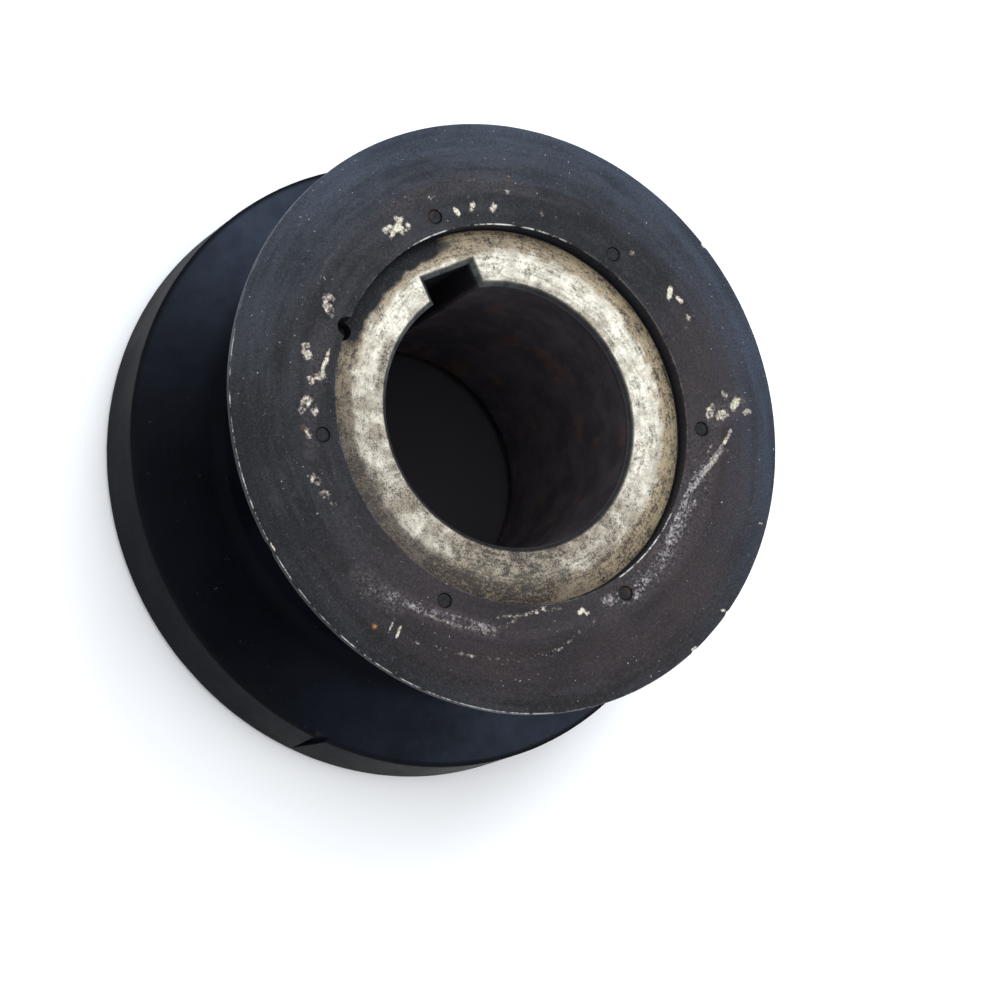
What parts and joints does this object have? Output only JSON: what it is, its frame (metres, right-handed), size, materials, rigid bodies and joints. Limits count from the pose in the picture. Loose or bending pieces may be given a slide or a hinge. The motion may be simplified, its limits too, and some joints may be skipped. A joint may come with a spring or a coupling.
{
  "type": "v belt pulley",
  "caption": "Built-up pulley for one wide V belt, with a thin bevelled front flange, a broad rear rim and a keyed steel sleeve in the middle.",
  "frame": {"origin": "centre of the rear face, on the bore axis, at the height the pulley stands on", "axes": "+Z along the bore towards the front face, +Y from the bore axis to the keyway, +X to the right of the keyway seen from the front"},
  "size_m": [0.116, 0.116, 0.055],
  "materials": {
    "sleeve_steel": "bright turned steel with brown rust stains and dark speckle",
    "core_black": "smooth near-black",
    "front_flange_black": "worn black-blue oxide with bare scuffs, rust and a bright worn edge",
    "rear_flange_black": "black-blue oxide, satin, greyer on the rim",
    "pin_steel": "dark oiled steel with rusty ends",
    "screw_black": "black oxide"
  },
  "bodies": {
    "root": {"hub_sleeve": "sleeve_steel", "groove_core": "core_black", "front_flange": "front_flange_black", "rear_flange": "rear_flange_black", "front_pin_1": "pin_steel", "front_pin_2": "pin_steel", "front_pin_3": "pin_steel", "front_pin_4": "pin_steel", "front_pin_5": "pin_steel", "front_pin_6": "pin_steel", "rear_pin_1": "pin_steel", "rear_pin_2": "pin_steel", "rear_pin_3": "pin_steel", "rear_pin_4": "pin_steel", "rear_pin_5": "pin_steel", "rear_pin_6": "pin_steel", "front_lock_pin": "pin_steel", "rear_lock_pin": "pin_steel", "key_set_screw": "screw_black", "shaft_set_screw": "screw_black"}
  },
  "joints": []
}
